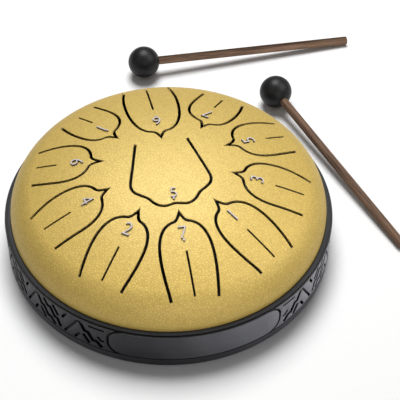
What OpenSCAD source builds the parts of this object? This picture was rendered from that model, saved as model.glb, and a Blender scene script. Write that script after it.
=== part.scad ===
// Round steel tongue drum: a domed top shell with eleven slit tongues, a shallow
// bottom shell with a sound hole, a moulded rubber rim ring that the drum stands on,
// and two rubber-headed mallets that lie beside it.
// The origin is on the drum's axis at table level; the front of the drum faces -Y.

/* [Steel body] */
// Radius of the steel body at its widest
body_r = 101; // [80:1:130]
// Radius of the crown of the playing surface
crown_r = 242; // [200:1:500]
// Radius of the shoulder that turns the crown down into the wall
shoulder_r = 21.4; // [14:0.2:26]
// Thickness of the steel sheet
steel_t = 1.6; // [1:0.1:2.2]
// Height of the top shell's straight wall
top_wall_h = 12; // [9:0.5:16]
// Height of the bottom shell's straight wall
bottom_wall_h = 2; // [1.6:0.2:5]
// Radius of the bottom shell's shoulder
bowl_shoulder_r = 8; // [5:0.5:12]
// Radius of the sound hole
sound_hole_r = 25; // [14:1:40]

/* [Tongues] */
// Width of the slit that outlines a tongue
slit_w = 1.8; // [0.8:0.05:2]
// Width of the straight tuning slit along a tongue
tuning_slit_w = 1.3; // [0.6:0.05:1.6]
// Length of the solid point at a tongue's tip
spike_l = 4.4; // [2.5:0.1:6]

/* [Seam] */
// Height of the weld bead on the wall
bead_w = 3; // [2:0.2:3.2]
// Depth that the weld bead stands out of the wall
bead_t = 0.9; // [0.5:0.1:1.4]

/* [Rim ring] */
// Thickness of the ring outside the steel wall
ring_t = 4.1; // [3.4:0.1:6]
// Height of the foot that holds the steel off the table
foot_h = 7.9; // [5.4:0.1:10]
// Width of the flat foot, in from the ring's outside
foot_w = 21.1; // [12:0.1:40]
// Height of the straight wall that shows above the ring
wall_show = 1.3; // [0.4:0.1:3]
// Clearance between the ring and the steel wall
ring_fit = 0.15; // [0.05:0.05:0.3]
// Rounding of the ring's top outer edge
lip_round = 2.9; // [1:0.1:3]
// Rounding of the ring's bottom outer edge
toe_round = 1; // [0.5:0.1:1.6]
// Height of the plain lip above the relief band
lip_h = 0.5; // [0.4:0.1:3]
// Height of the plain toe under the relief band
toe_h = 5.6; // [2:0.1:6]
// Width of the grooves in the ring
groove_w = 1; // [0.6:0.1:1.6]
// Depth of the grooves in the ring
groove_d = 1.4; // [0.5:0.1:1.6]
// Half the angle that the plain panel in front takes
panel_half_angle = 30; // [20:1:40]
// Corner radius of the plain panel
panel_corner_r = 9; // [5:0.5:9]
// Number of zigzags in the relief band
zigzags = 16; // [10:1:20]
// Thickness of the zigzag bar, measured along the ring
zigzag_bar_w = 4; // [2.5:0.1:6]
// Margin between the relief and the ring's grooves
relief_margin = 1; // [0.6:0.1:2]

/* [Mallets] */
// Radius of a mallet head
head_r = 11.6; // [8:0.1:16]
// Radius of a mallet stick
stick_r = 3.05; // [2:0.05:4]
// Length of a mallet from the crown of its head to the end of its stick
mallet_l = 170; // [120:1:220]
// Depth of a stick in its head, past the head's centre
stick_seat = 5; // [2:0.5:7]
// Clearance between a stick and its socket
socket_fit = 0.05; // [0.02:0.01:0.1]
// Chamfer at the ends of a stick
stick_chamfer = 0.5; // [0.2:0.1:0.8]
// Distance of mallet A's line from the ring
mallet_a_gap = 55.2; // [30:0.1:90]
// Distance of mallet A's head along its line
mallet_a_start = 16.5; // [-60:0.5:60]
// Bearing of mallet A's line from +X
mallet_a_bearing = 92.6; // [80:0.1:100]
// Distance of mallet B's line from the ring
mallet_b_gap = 22.9; // [18:0.1:60]
// Distance of mallet B's head along its line
mallet_b_start = -75.1; // [-100:0.1:-40]
// Bearing of mallet B's line from +X
mallet_b_bearing = 18.3; // [10:0.1:30]

/* [Hidden] */
$fn = 96;

// Overrun of a cutter past the faces that it cuts
over = 1;

// Heights of the body, from the table up
bowl_z = foot_h + bowl_shoulder_r;
seam_z = bowl_z + bottom_wall_h;
rim_z = seam_z + top_wall_h;
ring_top = rim_z - wall_show;

// The crown's arc meets the shoulder's arc where both have one normal
shoulder_x = body_r - shoulder_r;
crown_z = rim_z - sqrt(pow(crown_r - shoulder_r, 2) - pow(shoulder_x, 2));
crown_angle = asin(shoulder_x / (crown_r - shoulder_r));
top_z = crown_z + crown_r;

// The ring's own sizes
ring_r = body_r + ring_t;
ring_in_r = body_r + ring_fit;
foot_r = ring_r - foot_w;
// The seat's round clears the bottom shell's shoulder and ends where it meets the flat foot
seat_r = bowl_shoulder_r + ring_fit;
seat_angle = asin(bowl_shoulder_r / seat_r);
band_low = toe_h + groove_w;
band_high = ring_top - lip_h - groove_w;
relief_low = band_low + relief_margin;
relief_high = band_high - relief_margin;

// Width of one zigzag along the ring, and the base and height of the triangles in it
zigzag_angle = (360 - 2 * panel_half_angle) / zigzags;
zigzag_w = zigzag_angle / 360 * 2 * PI * ring_r;
tri_half = zigzag_w / 2 - zigzag_bar_w;
tri_h = relief_high - relief_low;

// Tongues: ten petals at equal bearings round the axis, the first in front.
// All lengths of a tongue are shares of the body's radius. The left and right
// halves of the drum mirror each other, so six rows serve the ten petals.
petals = 10;
petal_step = 360 / petals;
// Each row: tip, shift of the tip, half width on the front side and on the back side,
// end of the front slit along and across, end of the back slit along and across,
// start and end of the tuning slit
petal_shares = [
    [0.365, 0, 0.16, 0.16, 0.915, 0.14, 0.915, 0.14, 0.635, 0.905],
    [0.385, 0, 0.155, 0.165, 0.895, 0.135, 0.895, 0.14, 0.655, 0.875],
    [0.395, 0.015, 0.16, 0.17, 0.85, 0.165, 0.88, 0.13, 0.665, 0.845],
    [0.41, 0.005, 0.155, 0.17, 0.84, 0.15, 0.86, 0.14, 0.705, 0.84],
    [0.405, -0.03, 0.16, 0.15, 0.83, 0.14, 0.825, 0.145, 0.68, 0.815],
    [0.25, 0, 0.175, 0.175, 0.93, 0.14, 0.93, 0.14, 0.57, 0.89]
];
// Where the ogee turns over, along and across from the tip
ogee_shares = [0.075, 0.045];
// Where a petal is widest
belly_share = 0.68;
// Pull of the curves' handles, from the tip to the slit's end
handle_shares = [0.4, 0.3, 0.7, 0.55, 0.35, 0.4, 0.6];
// Slope of the ogee where it turns over
ogee_angle = 12;
// Steps along the ogee, the flank and the root of a petal
ogee_steps = 6;
flank_steps = 9;
root_steps = 4;

// Right half of the centre tongue's slit, from its open end to the middle of its tip
centre_shares = [
    [0.165, 0.22], [0.205, 0.05], [0.24, -0.09], [0.2475, -0.14], [0.235, -0.18],
    [0.205, -0.21], [0.16, -0.245], [0.13, -0.285], [0.1, -0.31], [0.065, -0.32],
    [0.03, -0.315], [0, -0.31]
];
centre_steps = 2;

// Mallet lines: gap to the ring, head's place along the line, bearing
mallets = [
    [mallet_a_gap, mallet_a_start, mallet_a_bearing],
    [mallet_b_gap, mallet_b_start, mallet_b_bearing]
];
// A mallet rests on its head and on the end of its stick
reach = mallet_l - head_r;
tilt = asin((head_r - stick_r) / reach);
// Places along a mallet's axis, from the centre of its head
stick_start = -stick_seat;
stick_bevel_end = stick_start + stick_chamfer;

// Points on an arc, from angle a0 to angle a1
function arc(c, rx, ry, a0, a1, n) =
    [for (i = [0:n]) let (a = a0 + (a1 - a0) * i / n) [c[0] + rx * cos(a), c[1] + ry * sin(a)]];

// Point at share t of a cubic curve with ends a and d and handles b and c
function on_curve(a, b, c, d, t) =
    pow(1 - t, 3) * a + 3 * pow(1 - t, 2) * t * b + 3 * (1 - t) * t * t * c + pow(t, 3) * d;
function curve(a, b, c, d, n) = [for (i = [0:n]) on_curve(a, b, c, d, i / n)];

// Smooth curve through a list of points, with n steps between neighbours
function at_end(p, i) = p[min(max(i, 0), len(p) - 1)];
function through(p, n) = [
    for (i = [0:len(p) - 2]) for (k = [0:n - 1])
        on_curve(p[i], p[i] + (p[i + 1] - at_end(p, i - 1)) / 6,
                 p[i + 1] - (at_end(p, i + 2) - p[i]) / 6, p[i + 1], k / n),
    p[len(p) - 1]
];

// Unit normals along a list of points, on the left of its direction
function normal_at(p, i) =
    let (d = at_end(p, i + 1) - at_end(p, i - 1)) [-d[1], d[0]] / norm(d);
function beside(p, dist) = [for (i = [0:len(p) - 1]) p[i] + normal_at(p, i) * dist[i]];
function reversed(p) = [for (i = [len(p) - 1:-1:0]) p[i]];
function flipped(p) = [for (q = p) [q[0], -q[1]]];

// One side of a petal, from its tip to the end of its slit, along and across its axis
function petal_side(tip, shift, belly, end_u, end_v) =
    let (h = handle_shares,
         flare = [sin(ogee_angle), cos(ogee_angle)],
         start = [tip, shift],
         turn = [tip + ogee_shares[0], ogee_shares[1] + shift],
         wide = [belly_share, belly],
         stop = [end_u, end_v])
    concat(
        curve(start, start + [h[0] * ogee_shares[0], 0],
              turn - h[1] * ogee_shares[0] * flare, turn, ogee_steps),
        [for (i = [1:flank_steps])
            on_curve(turn, turn + h[2] * (belly - turn[1]) * flare,
                     wide - [h[3] * (wide[0] - turn[0]), 0], wide, i / flank_steps)],
        [for (i = [1:root_steps])
            on_curve(wide, wide + [h[4] * (end_u - wide[0]), 0],
                     stop + [-h[5] * (end_u - wide[0]), h[6] * (belly - end_v)],
                     stop, i / root_steps)]);

// Half the slit's width, which grows from nothing at the tip to its full size
function half_widths(p) =
    [for (q = p) slit_w / 2 * min(1, norm(q - p[0]) / spike_l)];
function edge_out(p) = beside(p, half_widths(p));
function edge_in(p) = beside(p, -half_widths(p));

// Closed outline of the slit round a petal, from one open end over the tip to the other
function petal_outline(row) =
    let (front = body_r * petal_side(row[0], -row[1], row[2], row[4], row[5]),
         back = body_r * petal_side(row[0], row[1], row[3], row[6], row[7]),
         axis = body_r * row[1],
         front_in = [for (q = edge_in(front)) if (q[1] > slit_w / 4 - axis) q],
         back_in = [for (q = edge_in(back)) if (q[1] > slit_w / 4 + axis) q],
         notch = [back_in[0][0] - slit_w / 2, axis])
    concat(reversed(edge_out(back)),
           [for (i = [1:len(front) - 1]) flipped(edge_out(front))[i]],
           reversed(flipped(front_in)), [notch], back_in);

// Closed outline of the slit round the centre tongue
function centre_outline() =
    let (half = through(body_r * centre_shares, centre_steps),
         other = [for (i = [len(half) - 2:-1:0]) [-half[i][0], half[i][1]]],
         line = concat(half, other),
         w = [for (q = line) slit_w / 2])
    concat(beside(line, w), reversed(beside(line, -w)));

// Wedge between two directions from a point, long enough to clip a circle of radius r
module wedge(c, r, a0, a1) {
    polygon([c, c + 2 * r * [cos(a0), sin(a0)], c + 2 * r * [cos(a1), sin(a1)]]);
}

// Section of a sheet that follows an arc
module sheet_arc(c, r, t, a0, a1) {
    intersection() {
        difference() {
            translate(c) circle(r);
            translate(c) circle(r - t);
        }
        wedge(c, r, a0, a1);
    }
}

// Section of the top shell: crown, shoulder and straight wall
module top_section() {
    sheet_arc([0, crown_z], crown_r, steel_t, 90 - crown_angle, 90);
    sheet_arc([shoulder_x, rim_z], shoulder_r, steel_t, 0, 90 - crown_angle);
    translate([body_r - steel_t, seam_z]) square([steel_t, top_wall_h]);
}

// Section of the bottom shell: straight wall, shoulder and flat bottom
module bottom_section() {
    translate([body_r - steel_t, bowl_z]) square([steel_t, bottom_wall_h]);
    sheet_arc([body_r - bowl_shoulder_r, bowl_z], bowl_shoulder_r, steel_t, -90, 0);
    translate([sound_hole_r, foot_h]) square([body_r - bowl_shoulder_r - sound_hole_r, steel_t]);
}

// A cutter for the slits, standing through the crown and the shoulder
module slit_cutter() {
    translate([0, 0, rim_z]) linear_extrude(top_z - rim_z + over) children();
}

// Petal number i, counted anticlockwise from the front
module petal_place(i) {
    rotate(i * petal_step - 90) mirror([0, i > petals / 2 ? 1 : 0]) children();
}

module tongue_slits() {
    for (i = [0:petals - 1]) {
        row = petal_shares[min(i, petals - i)];
        slit_cutter() petal_place(i) polygon(petal_outline(row));
        slit_cutter() petal_place(i)
            translate([row[8] * body_r, -tuning_slit_w / 2])
                square([(row[9] - row[8]) * body_r, tuning_slit_w]);
    }
    slit_cutter() polygon(centre_outline());
}

module top_shell() {
    color("gold") difference() {
        rotate_extrude() top_section();
        tongue_slits();
    }
}

module bottom_shell() {
    color("goldenrod") rotate_extrude() bottom_section();
}

module seam_weld() {
    color("dimgray") translate([0, 0, seam_z])
        rotate_extrude() polygon(arc([body_r, 0], bead_t, bead_w / 2, -90, 90, 6));
}

// Section of the ring, from the foot's inner edge round the outside to the lip
module ring_outline() {
    bead_gap_h = bead_w / 2 + ring_fit;
    bead_gap_r = body_r + bead_t + ring_fit;
    polygon(concat(
        [[foot_r, 0]],
        arc([ring_r - toe_round, toe_round], toe_round, toe_round, -90, 0, 4),
        arc([ring_r - lip_round, ring_top - lip_round], lip_round, lip_round, 0, 90, 8),
        [[ring_in_r, ring_top], [ring_in_r, seam_z + bead_gap_h],
         [bead_gap_r, seam_z + bead_gap_h], [bead_gap_r, seam_z - bead_gap_h],
         [ring_in_r, seam_z - bead_gap_h]],
        arc([body_r - bowl_shoulder_r, bowl_z], seat_r, seat_r, 0, -seat_angle, 8),
        [[foot_r, foot_h]]));
}

// The same section with the two long grooves, under the relief band and over it
module ring_section() {
    difference() {
        ring_outline();
        for (z = [toe_h, band_high])
            translate([ring_r - groove_d, z]) square([ring_t, groove_w]);
    }
}

// A cutter that goes a groove's depth into the ring from outside, at angle a from the front
module at_ring(a) {
    intersection() {
        difference() {
            cylinder(r = ring_r + over, h = ring_top);
            translate([0, 0, -over]) cylinder(r = ring_r - groove_d, h = ring_top + 2 * over);
        }
        rotate(a) translate([0, -ring_r + ring_t, 0]) rotate([90, 0, 0])
            linear_extrude(2 * ring_t) children();
    }
}

// Rounded end of the plain panel in front, as a groove between the two long grooves
module panel_end() {
    r = panel_corner_r;
    line = concat(
        arc([-r, band_low - groove_w / 2 + r], r, r, -90, 0, 6),
        arc([-r, band_high + groove_w / 2 - r], r, r, 0, 90, 6));
    w = [for (q = line) groove_w / 2];
    polygon(concat(beside(line, w), reversed(beside(line, -w))));
}

// A triangular groove that leaves a smaller triangle standing in it
module triangle_groove() {
    slope = sqrt(pow(tri_h, 2) + pow(tri_half, 2));
    in_radius = tri_half * tri_h / (tri_half + slope);
    k = (in_radius - groove_w) / in_radius;
    difference() {
        polygon([[-tri_half, 0], [tri_half, 0], [0, tri_h]]);
        translate([0, in_radius]) scale([k, k]) translate([0, -in_radius])
            polygon([[-tri_half, 0], [tri_half, 0], [0, tri_h]]);
    }
}

module rim_ring() {
    color("dimgray") difference() {
        rotate_extrude() ring_section();
        for (side = [-1, 1])
            at_ring(side * panel_half_angle) mirror([side > 0 ? 0 : 1, 0]) panel_end();
        for (i = [0:zigzags - 1])
            at_ring(panel_half_angle + (i + 0.5) * zigzag_angle)
                translate([0, relief_low]) triangle_groove();
        for (i = [1:zigzags - 1])
            at_ring(panel_half_angle + i * zigzag_angle)
                translate([0, relief_high]) mirror([0, 1]) triangle_groove();
    }
}

// A mallet's own axis is Z, with the head's centre at the origin and the stick along +Z
module mallet_place(m) {
    away = ring_r + m[0];
    rotate(m[2]) translate([away, -m[1], head_r]) rotate([90, 0, 0]) rotate([tilt, 0, 0])
        children();
}

module mallet_stick(m) {
    mallet_place(m) rotate_extrude() polygon([
        [0, stick_start], [stick_r - stick_chamfer, stick_start],
        [stick_r, stick_bevel_end], [stick_r, reach - stick_chamfer],
        [stick_r - stick_chamfer, reach], [0, reach]]);
}

module mallet_head(m) {
    mallet_place(m) difference() {
        sphere(head_r);
        translate([0, 0, stick_start - socket_fit])
            cylinder(r = stick_r + socket_fit, h = head_r + stick_seat + over);
    }
}

module mallet_stick_a() { color("saddlebrown") mallet_stick(mallets[0]); }
module mallet_stick_b() { color("saddlebrown") mallet_stick(mallets[1]); }
module mallet_head_a() { color("#202022") mallet_head(mallets[0]); }
module mallet_head_b() { color("#202022") mallet_head(mallets[1]); }

top_shell();
bottom_shell();
seam_weld();
rim_ring();
mallet_stick_a();
mallet_head_a();
mallet_stick_b();
mallet_head_b();
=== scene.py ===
"""Dresses the steel tongue drum: its lacquered dome, moulded ring, mallets and studio.

Lengths are in metres. The origin is on the drum's axis at table level, +Z is up and
the front of the drum faces -Y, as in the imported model.
"""

import logging
import math
from dataclasses import dataclass
from enum import Enum
from typing import Callable, Sequence

import bpy
from mathutils import Matrix, Vector


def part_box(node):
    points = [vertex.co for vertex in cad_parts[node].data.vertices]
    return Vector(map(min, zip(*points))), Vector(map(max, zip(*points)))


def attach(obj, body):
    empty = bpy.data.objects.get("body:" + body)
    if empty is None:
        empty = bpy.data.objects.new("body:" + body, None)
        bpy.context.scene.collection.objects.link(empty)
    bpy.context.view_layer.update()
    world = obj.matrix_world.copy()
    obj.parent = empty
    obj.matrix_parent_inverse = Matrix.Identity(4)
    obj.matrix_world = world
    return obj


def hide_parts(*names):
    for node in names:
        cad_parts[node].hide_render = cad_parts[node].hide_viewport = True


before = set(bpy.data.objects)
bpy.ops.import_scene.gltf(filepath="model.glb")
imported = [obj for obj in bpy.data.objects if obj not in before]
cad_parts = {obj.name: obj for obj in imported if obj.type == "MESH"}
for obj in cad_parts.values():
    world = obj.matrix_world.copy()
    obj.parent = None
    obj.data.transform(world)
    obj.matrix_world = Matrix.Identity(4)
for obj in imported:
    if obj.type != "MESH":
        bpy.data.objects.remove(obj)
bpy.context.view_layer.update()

log = logging.getLogger("tongue_drum")

MM = 0.001
Colour = tuple[float, float, float, float]
Point = tuple[float, float]
Outline = list[Point]


class Note(Enum):
    """Where a digit carries its octave dot, seen with the digit upright."""

    PLAIN = 0
    LOW = -1
    HIGH = 1


class Part(Enum):
    """The sides of the top shell that get a finish of their own."""

    FACE = 0
    EDGE = 1
    INSIDE = 2


class Reach(Enum):
    """Whether a lamp is kept off some pieces or to them alone."""

    OFF = "EXCLUDE"
    ONLY = "INCLUDE"


class Bench:
    """Modelling operators that work on one object at a time."""

    @staticmethod
    def add(name: str, operator: Callable[..., object], **settings: object) -> bpy.types.Object:
        """Adds a new object with nothing else selected.

        Args:
            name: Its name.
            operator: The operator that adds it.
            **settings: The operator's settings.

        Returns:
            The new object.
        """
        bpy.ops.object.select_all(action="DESELECT")
        operator(**settings)
        piece = bpy.context.object
        piece.name = name
        return piece

    @staticmethod
    def pick(*pieces: bpy.types.Object) -> bpy.types.Object:
        """Selects only these objects and makes the first one active.

        Args:
            *pieces: The objects.

        Returns:
            The first of them.
        """
        bpy.ops.object.select_all(action="DESELECT")
        for piece in pieces:
            piece.select_set(True)
        bpy.context.view_layer.objects.active = pieces[0]
        return pieces[0]

    @staticmethod
    def loop(name: str, outline: Sequence[Sequence[float]], filled: bool) -> bpy.types.Object:
        """Draws a closed outline as a ring of edges or as one face.

        Args:
            name: The new object's name.
            outline: Its corners in order, with two or three coordinates each.
            filled: Whether a face fills it.

        Returns:
            The new object.
        """
        fill = "NGON" if filled else "NOTHING"
        circle = bpy.ops.mesh.primitive_circle_add
        piece = Bench.add(name, circle, vertices=len(outline), fill_type=fill)
        for vertex, corner in zip(piece.data.vertices, outline):
            vertex.co = Vector(corner).to_3d()
        return piece

    @staticmethod
    def edit(piece: bpy.types.Object) -> None:
        """Opens a piece in edit mode with all of it selected.

        Args:
            piece: The mesh to edit.
        """
        Bench.pick(piece)
        bpy.ops.object.mode_set(mode="EDIT")
        bpy.ops.mesh.select_all(action="SELECT")

    @staticmethod
    def done() -> None:
        """Closes edit mode."""
        bpy.ops.object.mode_set(mode="OBJECT")

    @staticmethod
    def extrude(height: float) -> None:
        """Extrudes what is selected in edit mode straight up."""
        bpy.ops.mesh.extrude_region_move(TRANSFORM_OT_translate={"value": (0, 0, height)})

    @staticmethod
    def clean(piece: bpy.types.Object, gap: float = 1e-7) -> None:
        """Merges doubled corners and turns the faces outwards.

        Args:
            piece: The mesh to clean.
            gap: Corners that are closer than this are merged.
        """
        Bench.edit(piece)
        bpy.ops.mesh.remove_doubles(threshold=gap)
        bpy.ops.mesh.normals_make_consistent(inside=False)
        Bench.done()

    @staticmethod
    def lathe(name: str, section: Sequence[Point], steps: int) -> bpy.types.Object:
        """Turns a closed section of (radius, height) corners round the Z axis.

        Args:
            name: The new object's name.
            section: The corners of the section, in order.
            steps: How many steps the full turn takes.

        Returns:
            The new object, closed and facing outwards.
        """
        piece = Bench.loop(name, [(radius, 0.0, height) for radius, height in section], False)
        Bench.edit(piece)
        bpy.ops.mesh.spin(steps=steps, angle=math.tau, center=(0, 0, 0), axis=(0, 0, 1))
        Bench.done()
        Bench.clean(piece)
        return piece

    @staticmethod
    def apply(piece: bpy.types.Object, kind: str, **settings: object) -> None:
        """Adds a modifier and applies it.

        Args:
            piece: The mesh that it works on.
            kind: The modifier's type.
            **settings: Its properties by name.
        """
        Bench.pick(piece)
        modifier = piece.modifiers.new(kind.title(), kind)
        for key, value in settings.items():
            setattr(modifier, key, value)
        bpy.ops.object.modifier_apply(modifier=modifier.name)

    @staticmethod
    def cut(piece: bpy.types.Object, tool: bpy.types.Object) -> None:
        """Cuts a tool out of a piece and takes the tool out of the scene."""
        Bench.apply(piece, "BOOLEAN", object=tool, operation="DIFFERENCE", solver="MANIFOLD")
        Bench.delete(tool)

    @staticmethod
    def bevel(piece: bpy.types.Object, width: float, degrees: float = 50) -> None:
        """Rounds all edges that are sharper than an angle."""
        limit = {"limit_method": "ANGLE", "angle_limit": math.radians(degrees)}
        Bench.apply(piece, "BEVEL", width=width, segments=2, **limit)

    @staticmethod
    def smooth(piece: bpy.types.Object, degrees: float = 30) -> None:
        """Smooths the shading across edges flatter than this angle."""
        Bench.pick(piece)
        bpy.ops.object.shade_smooth_by_angle(angle=math.radians(degrees))

    @staticmethod
    def place(piece: bpy.types.Object, where: Matrix) -> None:
        """Moves a piece and applies its place, so that its object stays at the origin.

        Args:
            piece: The piece.
            where: Its place.
        """
        piece.matrix_world = where
        Bench.pick(piece)
        bpy.ops.object.transform_apply(location=True, rotation=True, scale=True)

    @staticmethod
    def join(name: str, pieces: Sequence[bpy.types.Object]) -> bpy.types.Object:
        """Joins pieces into one object.

        Args:
            name: The joined object's name.
            pieces: The pieces, of which the first one takes in the others.

        Returns:
            The joined object.
        """
        Bench.pick(*pieces)
        bpy.ops.object.join()
        pieces[0].name = name
        return pieces[0]

    @staticmethod
    def delete(piece: bpy.types.Object) -> None:
        """Takes a finished tool out of the scene."""
        Bench.pick(piece)
        bpy.ops.object.delete()


def arc(centre: Point, radius: float, start: float, end: float, steps: int) -> Outline:
    """Draws an arc.

    Args:
        centre: Its centre.
        radius: Its radius.
        start: The angle in degrees at which it starts.
        end: The angle in degrees at which it ends.
        steps: How many steps it takes.

    Returns:
        Its points, both ends included.
    """
    turns = [math.radians(start + (end - start) * step / steps) for step in range(steps + 1)]
    x, y = centre
    return [(x + radius * math.cos(turn), y + radius * math.sin(turn)) for turn in turns]


def ribbon(line: Sequence[Point], half: float) -> Outline:
    """Draws the outline of a stroke along a line, with mitred corners.

    Args:
        line: The corners of the line.
        half: Half the stroke's width.

    Returns:
        The corners of the outline, in order.
    """
    points = [Vector(point) for point in line]
    steps = [(after - before).normalized() for before, after in zip(points, points[1:])]
    left, right = [], []
    for point, before, after in zip(points, steps[:1] + steps, steps + steps[-1:]):
        first, second = Vector((-before.y, before.x)), Vector((-after.y, after.x))
        reach = (first + second) * (half / (1 + first.dot(second)))
        left.append(tuple(point + reach))
        right.append(tuple(point - reach))
    return left + right[::-1]


def cubic(a: Vector, b: Vector, c: Vector, d: Vector, steps: int) -> list[Vector]:
    """Points on a cubic curve with ends a and d and handles b and c, after its first point."""
    return [
        a * (1 - t) ** 3 + b * (3 * t * (1 - t) ** 2) + c * (3 * t * t * (1 - t)) + d * t**3
        for t in (step / steps for step in range(1, steps + 1))
    ]


@dataclass(frozen=True)
class Dome:
    """The outer face of the top shell: a crown that turns through a shoulder into the wall."""

    body_r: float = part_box("top_shell")[1][0]
    seam_z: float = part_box("top_shell")[0][2]
    top_z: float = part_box("top_shell")[1][2]
    wall_h: float = 12 * MM
    shoulder_r: float = 21.4 * MM
    steel_t: float = 1.6 * MM
    crown_steps: tuple[int, int] = (44, 20)
    shoulder_steps: tuple[int, int] = (20, 10)

    @property
    def rim_z(self) -> float:
        """Height at which the shoulder turns into the straight wall."""
        return self.seam_z + self.wall_h

    @property
    def shoulder_x(self) -> float:
        """Distance of the shoulder's centre from the axis."""
        return self.body_r - self.shoulder_r

    @property
    def crown_r(self) -> float:
        """Radius of the crown, which meets the shoulder smoothly."""
        rise = self.top_z - self.rim_z
        spread = self.shoulder_x**2 + rise**2 - self.shoulder_r**2
        return spread / (2 * (rise - self.shoulder_r))

    @property
    def crown_z(self) -> float:
        """Height of the crown's centre."""
        return self.top_z - self.crown_r

    @property
    def crown_angle(self) -> float:
        """Slope in radians where the crown meets the shoulder."""
        return math.asin(self.shoulder_x / (self.crown_r - self.shoulder_r))

    def slope(self, radius: float) -> float:
        """Works out how steep the face is.

        Args:
            radius: A distance from the axis.

        Returns:
            The slope there, in radians.
        """
        if radius < self.crown_r * math.sin(self.crown_angle):
            return math.asin(radius / self.crown_r)
        return math.asin(min(1.0, (radius - self.shoulder_x) / self.shoulder_r))

    def height(self, radius: float) -> float:
        """Works out how high the face lies.

        Args:
            radius: A distance from the axis.

        Returns:
            The height there.
        """
        slope = self.slope(radius)
        if slope <= self.crown_angle:
            return self.crown_z + self.crown_r * math.cos(slope)
        return self.rim_z + self.shoulder_r * math.cos(slope)

    def on_face(self, x: float, y: float, rise: float = 0.0) -> Vector:
        """The point on the face over a place, or a rise above the face."""
        return Vector((x, y, self.height(math.hypot(x, y)))) + self.normal(x, y) * rise

    def normal(self, x: float, y: float) -> Vector:
        """Works out which way the face looks.

        Args:
            x: The place from left to right.
            y: The place from front to back.

        Returns:
            The unit normal of the face over this place.
        """
        radius = math.hypot(x, y)
        slope = self.slope(radius)
        if radius < 1e-9:
            return Vector((0, 0, 1))
        side = math.sin(slope) / radius
        return Vector((x * side, y * side, math.cos(slope)))

    def section(self) -> Outline:
        """Draws the section of the sheet, outer face first and back along the inner face.

        Returns:
            Its corners, each a radius and a height.
        """
        crown = 90 - math.degrees(self.crown_angle)
        centre, corner = (0.0, self.crown_z), (self.shoulder_x, self.rim_z)
        inner_crown, inner_corner = self.crown_r - self.steel_t, self.shoulder_r - self.steel_t
        outer = arc(centre, self.crown_r, 90, crown, self.crown_steps[0])
        outer += arc(corner, self.shoulder_r, crown, 0, self.shoulder_steps[0])[1:]
        inner = arc(corner, inner_corner, 0, crown, self.shoulder_steps[1])
        inner += arc(centre, inner_crown, crown, 90, self.crown_steps[1])[1:]
        wall = [(self.body_r, self.seam_z), (self.body_r - self.steel_t, self.seam_z)]
        return outer + wall + inner


@dataclass(frozen=True)
class Bowl:
    """The bottom shell: a flat bottom with a round sound hole and a shoulder to the seam."""

    dome: Dome
    base_z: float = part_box("bottom_shell")[0][2]
    seam_z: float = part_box("bottom_shell")[1][2]
    shoulder_r: float = 8 * MM
    hole_r: float = 25 * MM
    lip_r: float = 0.7 * MM
    lip_slope: float = 0.2 * MM
    lip_steps: int = 5
    shoulder_steps: tuple[int, int] = (14, 10)
    level: float = 0.01

    @property
    def corner(self) -> Point:
        """Centre of the shoulder's section."""
        return self.dome.body_r - self.shoulder_r, self.base_z + self.shoulder_r

    def section(self) -> Outline:
        """Draws the section of the sheet, from the hole out to the seam and back inside.

        Returns:
            Its corners, each a radius and a height.
        """
        wall, t, brim = self.dome.body_r, self.dome.steel_t, self.hole_r + self.lip_r
        section = arc((brim, self.base_z + self.lip_r), self.lip_r, 180, 270, self.lip_steps)
        section += arc(self.corner, self.shoulder_r, 270, 360, self.shoulder_steps[0])
        section += [(wall, self.seam_z), (wall - t, self.seam_z)]
        section += arc(self.corner, self.shoulder_r - t, 360, 270, self.shoulder_steps[1])
        section += [(brim, self.base_z + t), (self.hole_r, self.base_z + t - self.lip_slope)]
        return section

    def is_inner(self, face: bpy.types.MeshPolygon) -> bool:
        """Tells whether a face of the bottom shell looks into the drum.

        Args:
            face: The face.

        Returns:
            Whether it does.
        """
        across = math.hypot(face.center.x, face.center.y)
        inward = face.normal.x * face.center.x + face.normal.y * face.center.y < 0
        return face.normal.z > self.level or (inward and across > 2 * self.hole_r)


@dataclass(frozen=True)
class Petal:
    """One tongue, drawn in shares of the body's radius along and across its own axis.

    Attributes:
        tip: Where its point is.
        shift: How far the point lies to the back of the axis.
        half: Half width on the front side and on the back side.
        front_end: Where the front slit ends.
        back_end: Where the back slit ends.
        tuning: Start and end of its tuning slit.
        digit_at: Where its digit stands.
        spike: How long the drawn-out point is.
    """

    tip: float
    shift: float
    half: Point
    front_end: Point
    back_end: Point
    tuning: Point
    digit_at: float
    spike: float = 0.09


# The petals from the front one to the back one. The left side repeats the right side's.
PETAL_SHARES = [
    Petal(0.352, 0, (0.16, 0.16), (0.915, 0.14), (0.915, 0.14), (0.635, 0.905), 0.52),
    Petal(0.372, 0, (0.155, 0.165), (0.895, 0.135), (0.895, 0.14), (0.655, 0.875), 0.535),
    Petal(0.38, 0.015, (0.16, 0.17), (0.85, 0.165), (0.88, 0.13), (0.665, 0.845), 0.55),
    Petal(0.394, 0.005, (0.155, 0.17), (0.84, 0.15), (0.86, 0.14), (0.705, 0.84), 0.572, 0.1),
    Petal(0.398, -0.03, (0.16, 0.15), (0.83, 0.14), (0.825, 0.145), (0.68, 0.815), 0.57),
    Petal(0.23, 0, (0.175, 0.175), (0.93, 0.14), (0.93, 0.14), (0.57, 0.89), 0.42),
]
# The right half of the slit round the centre tongue, from its end to the middle.
CENTRE_SHARES = [
    (0.165, 0.22), (0.205, 0.05), (0.24, -0.09), (0.2475, -0.14), (0.235, -0.18), (0.205, -0.21),
    (0.16, -0.245), (0.13, -0.285), (0.1, -0.31), (0.065, -0.32), (0.03, -0.315), (0, -0.31),
]


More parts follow.
